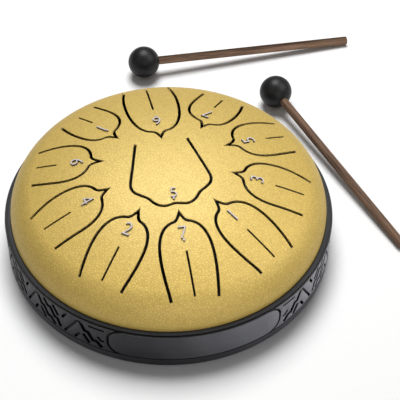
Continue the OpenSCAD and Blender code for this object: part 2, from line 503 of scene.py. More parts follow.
@dataclass(frozen=True)
class Slits:
    """The slits that cut the tongues free, as paths on the dome and the tools that cut them."""

    dome: Dome
    width: float = 1.95 * MM
    tuning_width: float = 1.3 * MM
    spike: float = 4.4 * MM
    chamfer: float = 0.2 * MM
    reach: float = 6 * MM
    rise: float = 0.6 * MM
    petals: int = 10
    tip: float = 0.06
    ogee_across: float = 0.045
    centre_lean: float = -0.006
    belly_share: float = 0.68
    handle_shares: tuple[float, ...] = (0.4, 0.3, 0.7, 0.55, 0.35, 0.4, 0.6)
    ogee_slope: float = math.radians(12)
    side_steps: tuple[int, int, int] = (10, 16, 8)
    centre_steps: int = 4
    tuning_steps: int = 8

    def row(self, index: int) -> Petal:
        """The shares of a petal, counted anticlockwise from the front."""
        return PETAL_SHARES[min(index, self.petals - index)]

    def bearing(self, index: int) -> float:
        """Bearing in radians of a petal's axis from +X."""
        return math.radians(index * 360 / self.petals - 90)

    def turned(self, index: int, along: float, across: float) -> Point:
        """Finds the place on the drum of a point of a petal.

        Args:
            index: The petal's number.
            along: How far the point lies along the petal's axis.
            across: How far it lies to the back of the axis.

        Returns:
            Its place in plan.
        """
        if index > self.petals / 2:
            across = -across
        cos, sin = math.cos(self.bearing(index)), math.sin(self.bearing(index))
        return along * cos - across * sin, along * sin + across * cos

    def side(self, petal: Petal, front: bool) -> list[Vector]:
        """Draws one side of a petal, from its tip to the end of its slit.

        Args:
            petal: The petal's shares.
            front: Whether it is the side that lies nearer the front of the drum.

        Returns:
            Points along and across the petal's axis, in metres.
        """
        side = -1 if front else 1
        belly = petal.half[0] if front else petal.half[1]
        end = Vector(petal.front_end if front else petal.back_end)
        pull = self.handle_shares
        ogee, flank, foot = self.side_steps
        flare = Vector((math.sin(self.ogee_slope), math.cos(self.ogee_slope)))
        start = Vector((petal.tip, petal.shift * side))
        turn = start + Vector((petal.spike, self.ogee_across))
        wide = Vector((self.belly_share, belly))
        rest = end.x - wide.x
        points = [start]
        points += cubic(
            start,
            start + Vector((pull[0] * petal.spike, 0)),
            turn - flare * (pull[1] * petal.spike),
            turn,
            ogee,
        )
        points += cubic(
            turn,
            turn + flare * (pull[2] * (belly - turn.y)),
            wide - Vector((pull[3] * (wide.x - turn.x), 0)),
            wide,
            flank,
        )
        points += cubic(
            wide,
            wide + Vector((pull[4] * rest, 0)),
            end + Vector((-pull[5] * rest, pull[6] * (belly - end.y))),
            end,
            foot,
        )
        return [Vector((point.x, side * point.y)) * self.dome.body_r for point in points]

    def centre_path(self) -> list[Vector]:
        """Draws the slit round the centre tongue, a smooth curve through its shares.

        Returns:
            Its points in plan.
        """
        half = [Vector(share) for share in CENTRE_SHARES]
        line = half + [Vector((-point.x, point.y)) for point in reversed(half[:-1])]
        points = [line[0]]
        for index, (a, d) in enumerate(zip(line, line[1:])):
            # Each stretch is parallel to the line between its neighbours at both ends.
            before, after = line[max(index - 1, 0)], line[min(index + 2, len(line) - 1)]
            points += cubic(a, a + (d - before) / 6, d - (after - a) / 6, d, self.centre_steps)
        return [(point + Vector((self.centre_lean, 0))) * self.dome.body_r for point in points]

    def section(self, width: float) -> bpy.types.Object:
        """Draws the cutter's section: straight walls that open into a chamfer at the surface.

        Args:
            width: The slit's width.

        Returns:
            The section as a closed curve.
        """
        half, top = width / 2, width / 2 + self.chamfer + self.rise
        corners = [
            (-half, -self.reach), (half, -self.reach), (half, -self.chamfer),
            (top, self.rise), (-top, self.rise), (-half, -self.chamfer),
        ]
        return self.path("slit_section", [Vector(corner).to_3d() for corner in corners], True)

    @staticmethod
    def path(name: str, points: Sequence[Vector], closed: bool = False) -> bpy.types.Object:
        """Draws a curve of straight steps.

        Args:
            name: The new object's name.
            points: The points that it passes through.
            closed: Whether it returns to its start.

        Returns:
            The new curve.
        """
        piece = Bench.add(name, bpy.ops.curve.primitive_nurbs_path_add)
        piece.data.splines.clear()
        spline = piece.data.splines.new("POLY")
        spline.points.add(len(points) - 1)
        for spot, point in zip(spline.points, points):
            spot.co = (*point, 1)
        spline.use_cyclic_u = closed
        return piece

    def cutter(
        self, name: str, flat: Sequence[Point], width: float, tip: float = 1.0
    ) -> bpy.types.Object:
        """Sweeps the cutter's section along a path on the dome.

        Args:
            name: The new object's name.
            flat: The path in plan.
            width: The slit's width.
            tip: The share of its size that it has at the path's start, from which it grows.

        Returns:
            The cutter, a closed mesh that follows the dome's normals.
        """
        places = [self.dome.on_face(x, y) for x, y in flat]
        piece = self.path(name, places)
        curve = piece.data
        curve.dimensions = "3D"
        curve.twist_mode = "Z_UP"
        curve.bevel_mode = "OBJECT"
        curve.bevel_object = self.section(width)
        curve.use_fill_caps = True
        last = len(places) - 1
        for index, (spot, place) in enumerate(zip(curve.splines[0].points, places)):
            along = (places[min(index + 1, last)] - places[max(index - 1, 0)]).normalized()
            upright = (Vector((0, 0, 1)) - along * along.z).normalized()
            normal = self.dome.normal(place.x, place.y)
            spot.tilt = math.atan2(along.dot(upright.cross(normal)), upright.dot(normal))
            grown = (place - places[0]).length / self.spike
            spot.radius = min(1.0, max(tip, grown))
        section = curve.bevel_object
        Bench.pick(piece)
        bpy.ops.object.convert(target="MESH")
        cutter = bpy.context.object
        Bench.delete(section)
        Bench.clean(cutter)
        return cutter

    def tools(self) -> list[bpy.types.Object]:
        """Makes all the cutters.

        Returns:
            Two sets, each one object whose cutters don't touch one another.
        """
        first, second = [], []
        for index in range(self.petals):
            petal = self.row(index)
            for front, group in ((True, first), (False, second)):
                line = [self.turned(index, *point) for point in self.side(petal, front)]
                group.append(self.cutter(f"slit_{index}_{front}", line, self.width, self.tip))
            start, length = petal.tuning[0], petal.tuning[1] - petal.tuning[0]
            steps = range(self.tuning_steps + 1)
            along = [start + length * step / self.tuning_steps for step in steps]
            line = [self.turned(index, share * self.dome.body_r, 0) for share in along]
            first.append(self.cutter(f"tuning_{index}", line, self.tuning_width))
        line = [tuple(point) for point in self.centre_path()]
        second.append(self.cutter("centre_slit", line, self.width))
        return [Bench.join("first_cut", first), Bench.join("second_cut", second)]


class Value:
    """A number in a shader, on which arithmetic adds Math nodes."""

    def __init__(self, sheet: "Sheet", socket: bpy.types.NodeSocket) -> None:
        """Wraps an output socket of a sheet's node tree."""
        self.sheet = sheet
        self.socket = socket

    def _math(self, operation: str, *numbers: object, clamp: bool = False) -> "Value":
        """Adds one Math node and returns its output."""
        settings = {"operation": operation, "use_clamp": clamp}
        return self.sheet.node("ShaderNodeMath", settings, *numbers)

    def __add__(self, other: object) -> "Value":
        """self + other."""
        return self._math("ADD", self, other)

    def __sub__(self, other: object) -> "Value":
        """self - other."""
        return self._math("SUBTRACT", self, other)

    def __rsub__(self, other: object) -> "Value":
        """other - self."""
        return self._math("SUBTRACT", other, self)

    def __mul__(self, other: object) -> "Value":
        """self * other."""
        return self._math("MULTIPLY", self, other)

    def clamped(self) -> "Value":
        """The value, held between 0 and 1."""
        return self._math("ADD", self, 0.0, clamp=True)

    def least(self, other: object) -> "Value":
        """The smaller of two values."""
        return self._math("MINIMUM", self, other)

    def spread(self, lowest: float, share: float) -> "Value":
        """A share of the value on top of a lowest value."""
        return self * share + lowest


class Sheet:
    """A material under construction, with one method for any node."""

    def __init__(self, name: str) -> None:
        """Starts a node material with a Principled shader.

        Args:
            name: The material's name.
        """
        self.material = bpy.data.materials.new(name)
        self.material.use_nodes = True
        self.tree = self.material.node_tree
        self.shader = self.tree.nodes["Principled BSDF"]

    def node(
        self, kind: str, settings: dict[str, object], *inputs: object, out: int | str = 0
    ) -> Value:
        """Adds a node, sets it up and fills its inputs.

        Args:
            kind: The node's type.
            settings: Its properties, set before its inputs.
            *inputs: Values or links for its sockets in order, None to leave one as it is.
            out: The output to return, by number or name.

        Returns:
            The chosen output.
        """
        node = self.tree.nodes.new(kind)
        for key, value in settings.items():
            setattr(node, key, value)
        for socket, value in zip(node.inputs, inputs):
            self.fill(socket, value)
        return Value(self, node.outputs[out])

    def fill(self, socket: bpy.types.NodeSocket, value: object) -> None:
        """Links a value into a socket, or sets the socket to a plain number or colour.

        Args:
            socket: The socket.
            value: The value, or None to leave the socket as it is.
        """
        if isinstance(value, Value):
            self.tree.links.new(value.socket, socket)
        elif value is not None:
            socket.default_value = value

    def set(self, **sockets: object) -> "Sheet":
        """Fills the shader's sockets.

        Args:
            **sockets: What goes into them by name, with underscores for spaces.

        Returns:
            The sheet itself.
        """
        for name, value in sockets.items():
            self.fill(self.shader.inputs[name.replace("_", " ")], value)
        return self

    def place(self) -> Value:
        """Object coordinates."""
        return self.node("ShaderNodeTexCoord", {}, out="Object")

    def stored(self, name: str, out: str = "Vector") -> Value:
        """An attribute stored on the mesh."""
        return self.node("ShaderNodeAttribute", {"attribute_name": name}, out=out)

    def stretch(self, point: Value, scale: tuple[float, float, float]) -> Value:
        """Scales coordinates along their axes."""
        return self.node("ShaderNodeMapping", {}, point, None, None, scale)

    def across(self, point: Value) -> Value:
        """Distance of a point from the Z axis."""
        flat = self.stretch(point, (1, 1, 0))
        return self.node("ShaderNodeVectorMath", {"operation": "LENGTH"}, flat, out="Value")

    def noise(self, point: Value, scale: float, detail: float = 2.0, rough: float = 0.5) -> Value:
        """Soft noise between about 0 and 1."""
        return self.node("ShaderNodeTexNoise", {}, point, None, scale, detail, rough)

    def cells(self, point: Value, scale: float) -> Value:
        """Distance to the nearest border in a field of cells."""
        edges = {"feature": "DISTANCE_TO_EDGE"}
        return self.node("ShaderNodeTexVoronoi", edges, point, None, scale, out="Distance")

    def between(self, value: Value, low: float, high: float) -> Value:
        """0 below low, 1 above high and a smooth step between."""
        smooth = {"interpolation_type": "SMOOTHSTEP"}
        return self.node("ShaderNodeMapRange", smooth, value, low, high, 0.0, 1.0)

    def mix(self, first: object, second: object, share: object) -> Value:
        """Mixes two colours.

        Args:
            first: The colour at share 0.
            second: The colour at share 1.
            share: The share of the second one.

        Returns:
            The mixed colour.
        """
        node = self.tree.nodes.new("ShaderNodeMix")
        node.data_type = "RGBA"
        for index, value in ((0, share), (6, first), (7, second)):
            self.fill(node.inputs[index], value)
        return Value(self, node.outputs[2])

    def bump(self, height: Value, depth: float) -> Value:
        """Turns a height between 0 and 1 into a normal.

        Args:
            height: The height, where 1 stands depth above 0.
            depth: The depth in metres.

        Returns:
            The bent normal.
        """
        node = self.tree.nodes.new("ShaderNodeBump")
        node.inputs["Distance"].default_value = depth
        self.fill(node.inputs["Height"], height)
        return Value(self, node.outputs[0])


def weighed(values: Sequence[Value], weights: Sequence[float]) -> Value:
    """Adds up values by their weights.

    Args:
        values: The values.
        weights: The weight of each.

    Returns:
        The weighted sum.
    """
    total = values[0] * weights[0]
    for value, weight in zip(values[1:], weights[1:]):
        total = total + value * weight
    return total


@dataclass(frozen=True)
class GoldLacquer:
    """Champagne-gold lacquer with a fine leathery grain and a painted shade towards the rim.

    Attributes:
        deep: Its darkest colour in the middle of the drum.
        bright: Its brightest colour there.
        rim_shade_deep: Its darkest colour at the rim, with painted shade.
        rim_shade_bright: Its brightest colour at the rim, with painted shade.
        rim_from: Distance from the axis at which the painted shade begins.
        rim_to: Distance at which the painted shade is full.
        cell: Size of a pebble of the grain.
        grain_depth: Depth of the grain.
        slope: Share of a pebble that slopes down to its border.
        clouds: Clouds to a metre.
        uneven: Scale and reach of the push that makes the pebbles uneven, in cells.
        grit: Scale of the warp and of the fine grit, in cells.
        bumps: Weights of pebble and grit in the relief.
        shades: Weights of pebble, cloud, warp and grit in the colour.
        shade_shift: What is added to that sum.
        metal: How metallic it is.
        matt: Lowest roughness and the grit's share in it.
        polish: How much smoother the pebbles' tops are.
        coat: Weight of the clear coat.
        coat_matt: Roughness of the clear coat.
    """

    deep: Colour = (0.393, 0.283, 0.075, 1)
    bright: Colour = (0.567, 0.423, 0.122, 1)
    # The rim colours are painted shade: deeper and darker than the middle ones.
    rim_shade_deep: Colour = (0.375, 0.257, 0.056, 1)
    rim_shade_bright: Colour = (0.54, 0.384, 0.091, 1)
    rim_from: float = 15 * MM
    rim_to: float = 101 * MM
    cell: float = 1.6 * MM
    grain_depth: float = 0.08 * MM
    slope: float = 0.28
    clouds: float = 22
    uneven: tuple[float, float] = (0.9, 0.6)
    grit: tuple[float, float] = (0.35, 3.1)
    bumps: tuple[float, ...] = (0.8, 0.35)
    shades: tuple[float, ...] = (0.6, 0.3, 0.3, 0.4)
    shade_shift: float = -0.25
    metal: float = 0.45
    matt: tuple[float, float] = (0.56, 0.12)
    polish: float = 0.05
    coat: float = 0.15
    coat_matt: float = 0.35

    def material(self) -> bpy.types.Material:
        """Builds the lacquer: pebbled grain, soft clouds and fine grit.

        Returns:
            The material.
        """
        sheet = Sheet("gold_lacquer")
        point = sheet.place()
        warp = sheet.noise(point, self.grit[0] / self.cell, 2)
        push = self.push(sheet, point)
        bent = sheet.node("ShaderNodeVectorMath", {"operation": "ADD"}, point, push)
        pebble = sheet.between(sheet.cells(bent, 1 / self.cell), 0.0, self.slope)
        fine = sheet.noise(point, self.grit[1] / self.cell, 3)
        cloud = sheet.noise(point, self.clouds, 2)
        shade = (weighed((pebble, cloud, warp, fine), self.shades) + self.shade_shift).clamped()
        middle = sheet.mix(self.deep, self.bright, shade)
        # Painted shade: from rim_from out to rim_to the colour turns deeper and darker.
        rim = sheet.mix(self.rim_shade_deep, self.rim_shade_bright, shade)
        outward = sheet.between(sheet.across(point), self.rim_from, self.rim_to)
        return sheet.set(
            Base_Color=sheet.mix(middle, rim, outward),
            Metallic=self.metal,
            Roughness=(fine.spread(*self.matt) - pebble * self.polish).clamped(),
            Coat_Weight=self.coat,
            Coat_Roughness=self.coat_matt,
            Normal=sheet.bump(weighed((pebble, fine), self.bumps), self.grain_depth),
        ).material

    def push(self, sheet: Sheet, point: Value) -> Value:
        """Makes the small sideways push that leaves the pebbles uneven.

        Args:
            sheet: The material's sheet.
            point: The coordinates.

        Returns:
            The push.
        """
        scale, reach = self.uneven[0] / self.cell, self.uneven[1] * self.cell
        noise = sheet.node("ShaderNodeTexNoise", {}, point, None, scale, 1.0, out="Color")
        return sheet.node("ShaderNodeVectorMath", {"operation": "SCALE"}, noise, None, None, reach)


@dataclass(frozen=True)
class HighlitCutEdge:
    """The chamfered brim of a slit: thinned lacquer over the steel, painted pale as a highlight.
    """

    # Both colours are a painted highlight, far paler than the lacquer on the face.
    thin_lacquer_highlight: Colour = (0.95, 0.80, 0.48, 1)
    full: Colour = (0.82, 0.60, 0.26, 1)
    wear_scale: float = 420
    wear_range: tuple[float, float] = (0.35, 0.65)
    metal: float = 0.55
    matt: tuple[float, float] = (0.3, 0.1)
    coat: float = 0.3

    def material(self) -> bpy.types.Material:
        """Builds the brim's painted highlight with a little unevenness along it.

        Returns:
            The material.
        """
        sheet = Sheet("cut_edge")
        worn = sheet.between(sheet.noise(sheet.place(), self.wear_scale, 2), *self.wear_range)
        return sheet.set(
            Base_Color=sheet.mix(self.full, self.thin_lacquer_highlight, worn),
            Metallic=self.metal,
            Roughness=worn.spread(*self.matt),
            Coat_Weight=self.coat,
        ).material


@dataclass(frozen=True)
class BurntAndShadedSteel:
    """Slit walls and shell insides: near-black painted shade with warm brown blotches."""

    # Both colours are painted shade, far darker than steel.
    dark: Colour = (0.004, 0.002, 0.001, 1)
    warm: Colour = (0.045, 0.022, 0.004, 1)
    blotch_scale: float = 160
    blotch_range: tuple[float, float] = (0.35, 0.7)
    matt: tuple[float, float] = (0.6, 0.2)
    grain_scale: float = 900
    grain_depth: float = 0.03 * MM

    def material(self) -> bpy.types.Material:
        """Builds the near-black painted shade with soft brown blotches.

        Returns:
            The material.
        """
        sheet = Sheet("burnt_steel")
        blotch = sheet.noise(sheet.place(), self.blotch_scale, 3)
        grain = sheet.noise(sheet.place(), self.grain_scale, 2)
        return sheet.set(
            Base_Color=sheet.mix(self.dark, self.warm, sheet.between(blotch, *self.blotch_range)),
            Roughness=blotch.spread(*self.matt),
            Normal=sheet.bump(grain, self.grain_depth),
        ).material


@dataclass(frozen=True)
class MouldedRubber:
    """Satin rubber with a fine matt skin and faint clouds, as on the mallets' balls.

    Attributes:
        name: The material's name.
        face: Its darker colour.
        worn: Its lighter colour.
        skin_scale: Grains of its skin to a metre.
        cloud_scale: Clouds to a metre.
        cloud_range: Where in the noise a cloud begins and is full.
        shades: Weights of cloud and skin in the colour.
        matt: Lowest roughness and the skin's share in it.
        gloss: Level of the shine.
        skin_depth: Depth of the skin.
    """

    name: str = "head_rubber"
    face: Colour = (0.004, 0.004, 0.0042, 1)
    worn: Colour = (0.007, 0.007, 0.0074, 1)
    skin_scale: float = 1 / (0.35 * MM)
    cloud_scale: float = 45
    cloud_range: tuple[float, float] = (0.3, 0.75)
    shades: tuple[float, float] = (0.6, 0.4)
    matt: tuple[float, float] = (0.34, 0.16)
    gloss: float = 0.25
    skin_depth: float = 0.02 * MM

    def material(self) -> bpy.types.Material:
        """Builds the rubber.

        Returns:
            The material.
        """
        sheet = Sheet(self.name)
        point = sheet.place()
        skin = sheet.noise(point, self.skin_scale, 3)
        cloud = sheet.between(sheet.noise(point, self.cloud_scale, 3), *self.cloud_range)
        plain = sheet.mix(self.face, self.worn, weighed((cloud, skin), self.shades))
        return sheet.set(
            Base_Color=self.shaded(sheet, point, plain),
            Roughness=skin.spread(*self.matt).clamped(),
            Specular_IOR_Level=self.gloss,
            Normal=sheet.bump(skin, self.skin_depth),
        ).material

    def shaded(self, sheet: Sheet, point: Value, plain: Value) -> Value:
        """The colour at a point, which is the plain one all over, with no painted shade."""
        return plain


@dataclass(frozen=True, kw_only=True)
class RingRubber(MouldedRubber):
    """The ring's rubber, with painted shade in the sunken ground and grooves of its relief.

    Attributes:
        ring: The ring, whose sizes say what is raised.
        groove: The painted shade in what is sunken.
        raised: How far under the outside the colour begins and ends to turn.
        toe: Height up to which the foot keeps its plain colour.
        blur: Height over which the colour turns at the lip and the foot.
    """

    ring: "Ring"
    name: str = "ring_rubber"
    face: Colour = (0.016, 0.016, 0.018, 1)
    worn: Colour = (0.026, 0.026, 0.029, 1)
    skin_scale: float = 2600
    cloud_scale: float = 60
    matt: tuple[float, float] = (0.42, 0.16)
    gloss: float = 0.22
    # Near-black painted shade for the sunken ground and the grooves.
    groove: Colour = (0.003, 0.003, 0.003, 1)
    raised: tuple[float, float] = (0.35 * MM, 0.15 * MM)
    toe: float = 1 * MM
    blur: float = 0.15 * MM

    def shaded(self, sheet: Sheet, point: Value, plain: Value) -> Value:
        """Paints shade into what is sunken, by the radius and height of each point on the ring.

        Args:
            sheet: The material's sheet.
            point: The coordinates.
            plain: The plain colour.

        Returns:
            The colour with painted shade in its grooves.
        """
        outer, lip = self.ring.outer_r, self.ring.top - self.ring.lip_h
        begin, full = self.raised
        height = sheet.node("ShaderNodeSeparateXYZ", {}, point, out="Z")
        raised = sheet.between(sheet.across(point), outer - begin, outer - full)
        above = sheet.between(height, lip - self.blur, lip)
        below = 1 - sheet.between(height, self.toe, self.toe + self.blur)
        # The raised faces, the lip and the foot keep the plain colour; the rest gets painted
        # shade.
        return sheet.mix(self.groove, plain, (raised + above + below).least(1.0))


@dataclass(frozen=True)
class StainedWood:
    """Dark stained wood, with grain and pores along the stick.

    Attributes:
        dark: Its darker colour.
        light: Its lighter colour.
        pore: The colour in its pores.
        streaks: How far its streaks are drawn out, and their scale.
        broad: The same for its broad bands.
        pores: The same for its pores.
        tones: Weights of streaks and bands in the tone.
        tone_range: Where in that sum the tone begins and is full.
        pore_range: Where in the noise a pore begins and is full.
        pore_shares: The pores' shares in colour, roughness and depth.
        matt: Lowest roughness and the tone's share in it.
        gloss: Level of the shine.
        grain_depth: Depth of the grain.
    """

    dark: Colour = (0.054, 0.028, 0.016, 1)
    light: Colour = (0.163, 0.096, 0.058, 1)
    pore: Colour = (0.02, 0.01, 0.007, 1)
    streaks: tuple[float, float] = (0.045, 900)
    broad: tuple[float, float] = (0.06, 260)
    pores: tuple[float, float] = (0.03, 2600)
    tones: tuple[float, float] = (0.8, 0.2)
    tone_range: tuple[float, float] = (0.3, 0.68)
    pore_range: tuple[float, float] = (0.60, 0.70)
    pore_shares: tuple[float, float, float] = (0.7, 0.2, 0.6)
    matt: tuple[float, float] = (0.55, 0.15)
    gloss: float = 0.2
    grain_depth: float = 0.06 * MM

    def material(self) -> bpy.types.Material:
        """Builds the wood on the coordinates that each stick stores.

        Returns:
            The material.
        """
        sheet = Sheet("stick_wood")
        point = sheet.stored("grain")
        streaks = self.along(sheet, point, self.streaks, 4, 0.6)
        broad = self.along(sheet, point, self.broad, 2)
        pores = sheet.between(self.along(sheet, point, self.pores, 2), *self.pore_range)
        tone = sheet.between(weighed((streaks, broad), self.tones), *self.tone_range)
        tint, dull, deep = self.pore_shares
        wood = sheet.mix(self.dark, self.light, tone)
        return sheet.set(
            Base_Color=sheet.mix(wood, self.pore, pores * tint),
            Roughness=(tone.spread(*self.matt) + pores * dull).clamped(),
            Specular_IOR_Level=self.gloss,
            Normal=sheet.bump(streaks - pores * deep, self.grain_depth),
        ).material

    @staticmethod
    def along(sheet: Sheet, point: Value, drawn: tuple[float, float], *detail: float) -> Value:
        """Noise that is drawn out along the stick."""
        return sheet.noise(sheet.stretch(point, (1, 1, drawn[0])), drawn[1], *detail)


@dataclass(frozen=True)
class SilverInlay:
    """The digits: pale silver faces over sides with painted shade."""

    face: Colour = (0.43, 0.39, 0.385, 1)
    # The sides' dark colour is painted shade.
    side: Colour = (0.03, 0.02, 0.012, 1)
    turn: tuple[float, float] = (1.0 * MM, 1.08 * MM)
    brush_scale: float = 1500
    matt: tuple[float, float] = (0.45, 0.2)
    gloss: float = 0.3

    def material(self) -> bpy.types.Material:
        """Builds the inlay on the height that each digit stores.

        Returns:
            The material.
        """
        sheet = Sheet("silver_inlay")
        rise = sheet.between(sheet.stored("rise", "Fac"), *self.turn)
        return sheet.set(
            Base_Color=sheet.mix(self.side, self.face, rise),
            Roughness=sheet.noise(sheet.place(), self.brush_scale, 2).spread(*self.matt),
            Specular_IOR_Level=self.gloss,
        ).material


@dataclass(frozen=True)
class WeldedSteel:
    """The weld bead under the ring."""

    bare: Colour = (0.42, 0.41, 0.39, 1)
    blued: Colour = (0.16, 0.14, 0.13, 1)
    ripple_scale: float = 380
    ripple_depth: float = 0.2 * MM
    metal: float = 0.9
    matt: tuple[float, float] = (0.3, 0.3)

    def material(self) -> bpy.types.Material:
        """Builds a rippled bead with heat colours.

        Returns:
            The material.
        """
        sheet = Sheet("weld_steel")
        ripple = sheet.noise(sheet.place(), self.ripple_scale, 3)
        return sheet.set(
            Base_Color=sheet.mix(self.bare, self.blued, ripple),
            Metallic=self.metal,
            Roughness=ripple.spread(*self.matt),
            Normal=sheet.bump(ripple, self.ripple_depth),
        ).material


def dress(piece: bpy.types.Object, *materials: bpy.types.Material) -> None:
    """Gives a piece its materials and no others.

    Args:
        piece: The piece.
        *materials: Its materials, in the order of its slots.
    """
    piece.data.materials.clear()
    for material in materials:
        piece.data.materials.append(material)


def hand_over(piece: bpy.types.Object, body: str, slot: str, *nodes: str) -> None:
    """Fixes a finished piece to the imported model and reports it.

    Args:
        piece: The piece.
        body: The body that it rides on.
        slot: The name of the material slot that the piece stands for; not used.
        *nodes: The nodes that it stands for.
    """
    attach(piece, body)
    if nodes:
        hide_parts(*nodes)
    triangles = sum(len(face.vertices) - 2 for face in piece.data.polygons)
    log.info("%s rides on %s, %d triangles", piece.name, body, triangles)


# The digit of each petal, anticlockwise from the front, its dot and its turn in degrees.
NOTES = [
    ("7", Note.LOW, 0.0), ("1", Note.PLAIN, 0.0), ("3", Note.PLAIN, 0.0), ("5", Note.PLAIN, 0.0),
    ("7", Note.PLAIN, 0.0), ("6", Note.LOW, 0.0), ("1", Note.HIGH, 2.4), ("6", Note.PLAIN, 0.0),
    ("4", Note.PLAIN, -1.0), ("2", Note.PLAIN, 0.0),
]


@dataclass(frozen=True)
class Shells:
    """The two steel shells, the weld between them and the digits on the tongues."""

    dome: Dome
    bowl: Bowl
    slits: Slits
    steps: int = 192
    wall_gap: float = 0.01 * MM
    skirt: float = 1 * MM
    face_facing: float = 0.97
    edge_facing: float = 0.3
    digit_h: float = 8.2 * MM
    digit_w: float = 5 * MM
    digit_thin: float = -0.011
    digit_rise: float = 1.05 * MM
    digit_bevel: float = 0.1 * MM
    digit_gap: float = 1e-6
    digit_smooth: float = 40
    dot_r: float = 0.7 * MM
    dot_gap: float = 0.9 * MM
    dot_shift: float = -0.4 * MM
    dot_corners: int = 20
    centre_digit_share: float = 0.237
    centre_digit_turn: float = math.radians(-2)
    centre_digit_size: float = 0.85

    def build(self) -> None:
        """Builds and dresses every piece of the body."""
        self.top_shell()
        self.bottom_shell()
        self.digits()
        dress(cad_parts["seam_weld"], WeldedSteel().material())

    def top_shell(self) -> None:
        """The dome, spun from its section and cut by the slits."""
        shell = Bench.lathe("top_shell_lacquered", self.dome.section(), self.steps)
        for tool in self.slits.tools():
            Bench.cut(shell, tool)
        for face in shell.data.polygons:
            face.material_index = self.part_of(face).value
        # The slit walls and the inside get painted shade, the chamfers a painted highlight.
        materials = {Part.FACE: GoldLacquer(), Part.EDGE: HighlitCutEdge(), Part.INSIDE: BurntAndShadedSteel()}
        dress(shell, *[materials[part].material() for part in Part])
        self.true_normals(shell)
        hand_over(shell, "drum", "gold_lacquer", "top_shell")

    def part_of(self, face: bpy.types.MeshPolygon) -> Part:
        """Finds which side of the top shell a face belongs to.

        Args:
            face: The face.

        Returns:
            Its side.
        """
        centre = face.center
        radius = math.hypot(centre.x, centre.y)
        if radius > self.dome.body_r - self.wall_gap:
            return Part.FACE
        depth = self.dome.height(radius) - centre.z
        outward = face.normal.dot(self.dome.normal(centre.x, centre.y))
        if outward > self.face_facing and centre.z > self.dome.rim_z - self.skirt:
            return Part.FACE
        if outward > self.edge_facing and depth < 2 * self.slits.chamfer:
            return Part.EDGE
        return Part.INSIDE

    def true_normals(self, shell: bpy.types.Object) -> None:
        """Shades the lacquered face with the dome's own normals, whatever its facets.

        Args:
            shell: The top shell.
        """
        mesh = shell.data
        normals = [Vector((0, 0, 1))] * len(mesh.loops)
        for face in mesh.polygons:
            face.use_smooth = True
            for corner in face.loop_indices:
                place = mesh.vertices[mesh.loops[corner].vertex_index].co
                normals[corner] = self.normal_at(face, place)
        mesh.normals_split_custom_set(normals)

    def normal_at(self, face: bpy.types.MeshPolygon, place: Vector) -> Vector:
        """Works out the shading normal of a face at one of its corners.

        Args:
            face: The face.
            place: The corner.

        Returns:
            The normal.
        """
        if Part(face.material_index) is not Part.FACE:
            return face.normal.copy()
        if place.z < self.dome.rim_z:
            return Vector((place.x, place.y, 0)).normalized()
        return self.dome.normal(place.x, place.y)

    def bottom_shell(self) -> None:
        """The shallow bowl, with the lip of its sound hole turned smooth."""
        bowl = Bench.lathe("bottom_shell_lacquered", self.bowl.section(), self.steps)
        Bench.smooth(bowl)
        # The bottom shell's inner faces get painted shade.
        dress(bowl, GoldLacquer().material(), BurntAndShadedSteel().material())
        for face in bowl.data.polygons:
            face.material_index = int(self.bowl.is_inner(face))
        hand_over(bowl, "drum", "gold_lacquer", "bottom_shell")

    def digits(self) -> None:
        """The note numbers, each with its top towards the middle of the drum."""
        pieces = []
        for index, (text, note, turn) in enumerate(NOTES):
            share, bearing = self.slits.row(index).digit_at, self.slits.bearing(index)
            pieces.append(self.digit(text, note, share, bearing + math.radians(turn)))
        share, size = self.centre_digit_share, self.centre_digit_size
        bearing = self.slits.bearing(0) + self.centre_digit_turn
        pieces.append(self.digit("5", Note.LOW, share, bearing, size))
        inlay = Bench.join("note_numbers", pieces)
        Bench.smooth(inlay, self.digit_smooth)
        dress(inlay, SilverInlay().material())
        hand_over(inlay, "drum", "gold_lacquer")

    def digit(
        self, text: str, note: Note, share: float, bearing: float, size: float = 1.0
    ) -> bpy.types.Object:
        """Makes one digit with its octave dot and lays it on the dome.

        Args:
            text: The digit.
            note: Where its dot is, if it has one.
            share: Its distance from the axis as a share of the body's radius.
            bearing: Its bearing from +X in radians.
            size: Its size as a share of the others'.

        Returns:
            The digit as a mesh, with its height above the dome stored on it.
        """
        piece = Bench.add("digit", bpy.ops.object.text_add)
        piece.data.body = text
        piece.data.align_x, piece.data.align_y = "CENTER", "CENTER"
        piece.data.offset = self.digit_thin
        Bench.pick(piece)
        bpy.ops.object.convert(target="MESH")
        piece = bpy.context.object
        corners = [vertex.co.copy() for vertex in piece.data.vertices]
        low = Vector((min(c.x for c in corners), min(c.y for c in corners)))
        high = Vector((max(c.x for c in corners), max(c.y for c in corners)))
        middle, span, height = (low + high) / 2, high - low, self.digit_h * size
        width = min(self.digit_w, span.x * height / span.y)
        for vertex in piece.data.vertices:
            vertex.co.x = (vertex.co.x - middle.x) * width / span.x
            vertex.co.y = (vertex.co.y - middle.y) * height / span.y
        self.raise_face(piece)
        if note is not Note.PLAIN:
            dot = self.dot(note.value * (height / 2 + self.dot_gap))
            piece = Bench.join(piece.name, [piece, dot])
        self.lay(piece, share, bearing)
        return piece

    def dot(self, away: float) -> bpy.types.Object:
        """Makes an octave dot.

        Args:
            away: How far it stands over the middle of its digit, or under it if negative.

        Returns:
            The dot.
        """
        dot = Bench.add(
            "dot", bpy.ops.mesh.primitive_circle_add, vertices=self.dot_corners,
            radius=self.dot_r, fill_type="NGON", location=(self.dot_shift, away, 0),
        )
        Bench.place(dot, dot.matrix_world.copy())
        self.raise_face(dot)
        return dot

    def raise_face(self, piece: bpy.types.Object) -> None:
        """Thickens a flat shape and bevels the edge of its face.

        Args:
            piece: The flat shape.
        """
        Bench.edit(piece)
        bpy.ops.mesh.remove_doubles(threshold=self.digit_gap)
        Bench.extrude(self.digit_rise)
        bpy.ops.mesh.inset(thickness=self.digit_bevel, depth=self.digit_bevel)
        Bench.done()

